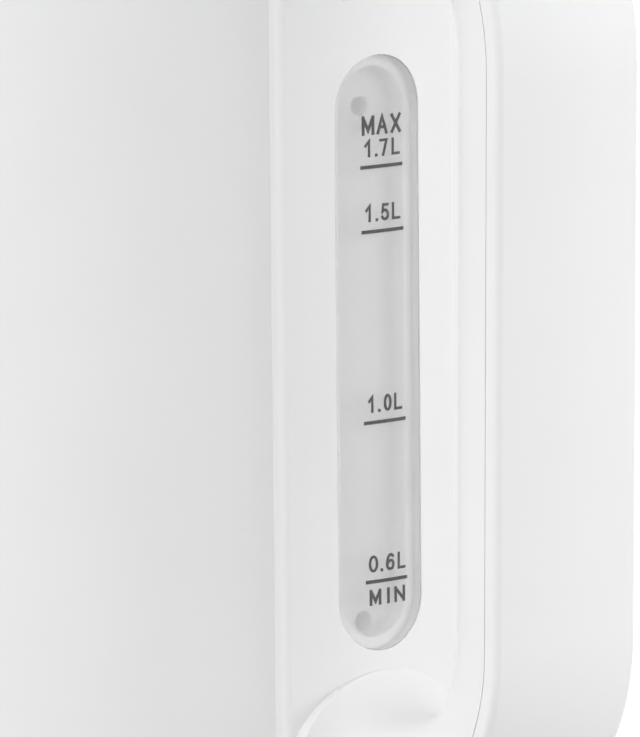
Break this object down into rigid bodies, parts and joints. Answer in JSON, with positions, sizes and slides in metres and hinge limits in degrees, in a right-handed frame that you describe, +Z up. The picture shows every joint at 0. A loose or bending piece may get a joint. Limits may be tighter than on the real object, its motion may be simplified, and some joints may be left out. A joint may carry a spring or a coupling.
{
  "type": "electric kettle",
  "caption": "Cordless electric jug kettle: tapered jug with a loop handle, a tall water gauge under the hand, a hinged lid, a beak spout and a round power base.",
  "frame": {"origin": "on the swivel axis of the base, at the table surface", "axes": "+Z up along the swivel axis, +X from the axis towards the handle, so the spout is at -X"},
  "size_m": [0.2118, 0.154, 0.2442],
  "materials": {
    "white_plastic": "white moulded plastic with a satin gloss",
    "grey_plastic": "plain light grey moulded plastic",
    "black_plastic": "heat-proof black plastic",
    "control_nylon": "natural nylon",
    "mesh_nylon": "fine woven nylon mesh",
    "clear_pane": "clear plastic pane",
    "silicone": "translucent white silicone",
    "foot_rubber": "soft grey rubber",
    "plate_steel": "brushed stainless steel",
    "steel": "bright zinc-plated steel",
    "aluminium": "plain rolled aluminium",
    "element_aluminium": "drawn aluminium sheath",
    "contact_brass": "bare contact brass",
    "bimetal": "rolled bimetal strip"
  },
  "bodies": {
    "power_base": {"base_cover": "white_plastic", "base_plate": "grey_plastic", "base_feet": "foot_rubber", "base_screws": "steel", "base_connector": "black_plastic", "base_contacts": "contact_brass"},
    "connector": {"socket_ring": "black_plastic", "socket_contacts": "contact_brass"},
    "kettle": {"jug": "white_plastic", "spout": "white_plastic", "floor_ring": "white_plastic", "gauge_chamber": "white_plastic", "gauge_window": "clear_pane", "gauge_seal": "silicone", "handle_inner": "white_plastic", "handle_cover": "white_plastic", "handle_screws": "steel", "heating_plate": "plate_steel", "plate_seal": "silicone", "heat_spreader": "aluminium", "heating_element": "element_aluminium", "element_terminals": "steel", "control_body": "control_nylon", "control_screws": "steel", "dry_boil_discs": "bimetal", "steam_disc": "bimetal", "steam_tube": "control_nylon", "switch_pin": "steel", "bottom_cover": "grey_plastic", "bottom_screws": "steel", "rim_collar": "white_plastic", "lid_hinge_pin": "steel", "filter_frame": "white_plastic", "filter_mesh": "mesh_nylon"},
    "lid": {"lid_cover": "white_plastic", "lid_liner": "white_plastic", "lid_seal": "silicone", "lid_screws": "steel"},
    "switch": {"switch_lever": "white_plastic"},
    "plunger": {"contact_plunger": "control_nylon"}
  },
  "joints": [
    {"name": "kettle_lift", "type": "slide", "parent": "power_base", "child": "connector", "axis": [0, 0, 1], "range_m": [0, 0.08]},
    {"name": "kettle_swivel", "type": "hinge", "parent": "connector", "child": "kettle", "pos_m": [0, 0, 0.03], "axis": [0, 0, 1], "continuous": true},
    {"name": "lid_hinge", "type": "hinge", "parent": "kettle", "child": "lid", "pos_m": [0.05, 0, 0.234], "axis": [0, 1, 0], "range_deg": [0, 80]},
    {"name": "switch_press", "type": "hinge", "parent": "kettle", "child": "switch", "pos_m": [0.058, 0, 0.033], "axis": [0, 1, 0], "range_deg": [0, 14], "stiffness_Nm_per_rad": 0.15, "springref_deg": -5.73},
    {"name": "plunger_push", "type": "slide", "parent": "kettle", "child": "plunger", "axis": [0, 0, 1], "range_m": [0, 0.0016]}
  ],
  "couplings": [
    {"joint": "plunger_push", "follows": "switch_press", "m_per_rad": 0.0065}
  ]
}
